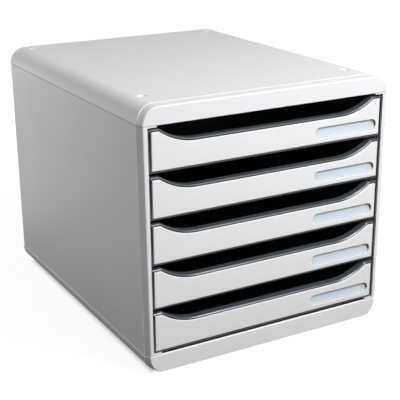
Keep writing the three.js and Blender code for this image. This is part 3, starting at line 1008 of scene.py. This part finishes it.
def make_front_panel(number):
    """The white front: a plate with rounded edges and the label pocket sunk into it."""
    drawer = drawer_z(number)
    seat = RECESS_DEPTH - PANEL_GAP
    core = RIM_INSET + RIM_WIDTH + PANEL_GAP
    top_core = PANEL_TOP_GAP + RIM_WIDTH
    edge = PANEL_EDGE_DEPTH - FIT_GAP / 2
    top_edge = PANEL_TOP_EDGE_DEPTH
    radius = PANEL_CORNER_RADIUS
    rings = [panel_ring(drawer, core, top_core, seat, seat, radius),
             panel_ring(drawer, core, top_core, edge, top_edge, radius),
             panel_ring(drawer, PANEL_GAP, PANEL_TOP_GAP, edge, top_edge, radius)]
    for inset, depth in rolled(PANEL_FILLET):
        low_inset = PANEL_GAP + inset
        top_inset = PANEL_TOP_GAP + inset
        rings.append(panel_ring(drawer, low_inset, top_inset, depth, depth, radius - inset))
    slot_rings = [placed(label_outline(-back_step), depth, drawer)
                  for back_step, depth in reversed(rolled(SLOT_FILLET))]
    slot_rings.append(placed(label_outline(0), POCKET_DEPTH, drawer))
    shape = Shape()
    edge_start = shape.loft(rings, first_cap=True)[-1]
    slot_start = shape.loft(slot_rings, last_cap=True)[0]
    outlines = ((edge_start, len(rings[0])), (slot_start, len(slot_rings[0])))
    panel = object_with_filled_face(f"drawer_{number}_front", shape, outlines)
    finish_piece(panel, f"drawer_{number}", "front_plastic", f"drawer_{number}_front_panel")


def sine_steps(count):
    """Places from -1 to 1 that lie closer together towards both ends."""
    return [math.sin((2 * i / count - 1) * QUARTER) for i in range(count + 1)]


def grid_rim(rows):
    """The outer points of a grid, all the way round."""
    inner_rows = rows[1:-1]
    return [*rows[0], *[row[-1] for row in inner_rows], *reversed(rows[-1]),
            *[row[0] for row in reversed(inner_rows)]]


def make_label_window(number):
    """The clear cover: it lies deep in the slot and curves out to the slot's lower edge."""
    middle_z = drawer_z(number) + LABEL_Z
    half_height = LABEL_SLOT_HEIGHT / 2 - WINDOW_GAP
    end_radius = LABEL_SLOT_RADIUS - WINDOW_GAP
    shortening = (WINDOW_RIGHT_GAP - WINDOW_GAP) / 2
    straight = LABEL_SLOT_WIDTH / 2 - LABEL_SLOT_RADIUS - shortening
    middle_x = LABEL_X - shortening
    back = POCKET_DEPTH - CARD_THICKNESS - WINDOW_CARD_GAP
    recess_run = WINDOW_TOP_RECESS - WINDOW_BOTTOM_RECESS
    face = []
    wall = []
    for height in sine_steps(WINDOW_ROWS):
        reach = straight + end_radius * math.sqrt(max(1 - height * height, 0))
        drop_share = (1 - height) / 2
        depth = WINDOW_TOP_RECESS - recess_run * drop_share ** WINDOW_CURVE_POWER
        z = middle_z + height * half_height
        columns = [middle_x + reach * place for place in sine_steps(WINDOW_COLUMNS)]
        face.append([(x, FRONT_Y + depth, z) for x in columns])
        wall.append([(x, FRONT_Y + back, z) for x in columns])
    shape = Shape()
    shape.loft(face, closed=False)
    shape.loft(wall, closed=False)
    shape.loft([grid_rim(face), grid_rim(wall)])
    window = object_from(f"drawer_{number}_clear_cover", shape)
    finish_piece(window, f"drawer_{number}", "clear_plastic", f"drawer_{number}_label_window",
                 sharp_degrees=WINDOW_SHARP_DEGREES)


def make_painted_shade_arc(number):
    """A dark arc of tray plastic in the slot's upper right end, put there as painted shade where the
    slot's corner lies in shadow.
    """
    drawer = drawer_z(number)
    outer = LABEL_SLOT_RADIUS
    inner = LABEL_SLOT_RADIUS - SHADE_ARC_THICKNESS
    low = SHADE_ARC_LOW_SHARE * QUARTER
    lines = []
    for radius, depth in ((outer, SHADE_ARC_RECESS), (outer, POCKET_DEPTH),
                          (inner, POCKET_DEPTH), (inner, SHADE_ARC_RECESS)):
        line = arc(LABEL_RIGHT - outer, LABEL_Z, radius, low, QUARTER, LABEL_STEPS)
        lines.append(placed(without_normals(line), depth, drawer))
    shape = Shape()
    shape.solid_loft([list(points) for points in zip(*lines)])
    shade_arc = object_from(f"drawer_{number}_painted_shade_arc", shape)
    finish_piece(shade_arc, f"drawer_{number}", "tray_plastic", f"drawer_{number}_tray")


def make_label_card(number):
    middle_z = drawer_z(number) + LABEL_Z
    half_card = LABEL_SLOT_HEIGHT / 2 - CARD_EDGE_MARGIN
    card_back = FRONT_Y + POCKET_DEPTH
    shape = Shape()
    shape.box((CARD_LEFT, card_back - CARD_THICKNESS, middle_z - half_card),
              (CARD_RIGHT, card_back, middle_z + half_card), CARD_THICKNESS / 4)
    card = object_from(f"drawer_{number}_card", shape)
    finish_piece(card, f"drawer_{number}", "card_paper", f"drawer_{number}_label_card")


make_top_cover()
make_base()
make_side_panel(-1, "left")
make_side_panel(1, "right")
make_back_panel()
make_feet()
for drawer_number in drawer_numbers():
    make_tray(drawer_number)
    make_front_panel(drawer_number)
    make_label_window(drawer_number)
    make_painted_shade_arc(drawer_number)
    make_label_card(drawer_number)


# Floor, lights and camera

def seen_directly(tree, rays):
    """1 for camera, mirror and clear rays, 0 for the rays that light the object."""
    value = rays.outputs["Is Camera Ray"]
    for other in ("Is Glossy Ray", "Is Transmission Ray"):
        value = combined(tree, "MAXIMUM", value, rays.outputs[other])
    return value


def distance_outside(tree):
    """How far a place on the floor lies outside the cabinet's outline, less than zero within it."""
    place = add_node(tree, "TexCoord", {})
    parts = add_node(tree, "SeparateXYZ", {"Vector": place.outputs["Object"]})
    beyond_side, beyond_end = [
        combined(tree, "SUBTRACT", combined(tree, "ABSOLUTE", parts.outputs[axis]), half * MM)
        for axis, half in (("X", BASE_HALF_WIDTH), ("Y", BACK_Y))]
    return combined(tree, "MAXIMUM", beyond_side, beyond_end)


def smooth_glow(tree, distance, start, end, low, high):
    """A glow that runs softly from low to high between two distances in millimetres."""
    return ranged(tree, distance, start * MM, end * MM, low, high, curve="SMOOTHSTEP")


def floor_paper():
    """White paper that glows where it is seen, with its real shadow and a painted contact shadow where
    its glow drops near the cabinet, and only dimly lights the object.
    """
    material = bpy.data.materials.new("floor_paper")
    material.use_nodes = True
    tree = material.node_tree
    tree.nodes.clear()
    rays = add_node(tree, "LightPath", {})
    direct = seen_directly(tree, rays)
    shade = ranged(tree, direct, 0, 1, FLOOR_BOUNCE_SHARE, FLOOR_SHADE_SHARE)
    diffuse = add_node(tree, "BsdfDiffuse", {"Color": shade})
    outside = distance_outside(tree)
    # Painted contact shadow under the cabinet's edge, and a wider painted shadow that only mirror rays
    # see
    painted_contact_shadow = smooth_glow(tree, outside, -PAINTED_SHADOW_START, -PAINTED_SHADOW_END, PAINTED_SHADOW_GLOW, FLOOR_GLOW)
    far = smooth_glow(tree, outside, 0, FLOOR_FAR, 0, 1 - FLOOR_GLOW)
    painted_shadow_in_mirrors = smooth_glow(tree, outside, 0, MIRROR_SHADE_END, PAINTED_SHADOW_GLOW, 1)
    level = add_node(tree, "Mix", {
        "Factor": rays.outputs["Is Glossy Ray"],
        "A": combined(tree, "ADD", painted_contact_shadow, far),
        "B": painted_shadow_in_mirrors,
    })
    glow = add_node(tree, "Emission", {"Strength": level.outputs["Result"]})
    dark = add_node(tree, "Emission", {"Strength": 0})
    chosen = add_node(tree, "MixShader", {
        "Fac": direct, 1: dark.outputs["Emission"], 2: glow.outputs["Emission"]})
    total = add_node(tree, "AddShader", {0: diffuse.outputs["BSDF"], 1: chosen.outputs["Shader"]})
    add_node(tree, "OutputMaterial", {"Surface": total.outputs["Shader"]})
    return material


def make_floor():
    mesh = bpy.data.meshes.new("floor")
    half = FLOOR_HALF_SIZE * MM
    corners = [(-half, -half, 0), (half, -half, 0), (half, half, 0), (-half, half, 0)]
    mesh.from_pydata(corners, [], [(0, 1, 2, 3)])
    floor = add_object("floor", mesh)
    mesh.materials.append(floor_paper())


def make_world():
    world = bpy.data.worlds.new("studio")
    bpy.context.scene.world = world
    world.use_nodes = True
    tree = world.node_tree
    background = tree.nodes["Background"]
    direct = seen_directly(tree, add_node(tree, "LightPath", {}))
    put(tree, background.inputs["Color"], WORLD_COLOR)
    put(tree, background.inputs["Strength"], ranged(tree, direct, 0, 1, WORLD_LEVEL, 1))


def add_softbox(name, place, width, height, watts, seen=True):
    light = bpy.data.lights.new(name, "AREA")
    light.shape = "RECTANGLE"
    light.size = width * MM
    light.size_y = height * MM
    light.energy = watts
    lamp = add_object(name, light)
    spot = Vector(place) * MM
    lamp.location = spot
    lamp.rotation_euler = (Vector(LIGHT_AIM) * MM - spot).to_track_quat("-Z", "Y").to_euler()
    lamp.visible_camera = seen


def make_camera():
    data = bpy.data.cameras.new("camera")
    data.sensor_fit = "HORIZONTAL"
    data.angle = math.radians(CAMERA_VIEW_DEGREES)
    camera = add_object("camera", data)
    camera.location = Vector(CAMERA_PLACE) * MM
    camera.rotation_euler = [math.radians(angle) for angle in CAMERA_TURN_DEGREES]
    bpy.context.scene.camera = camera


make_floor()
make_world()
for softbox in SOFTBOXES:
    add_softbox(**softbox)
make_camera()
bpy.context.scene.view_settings.view_transform = "Standard"
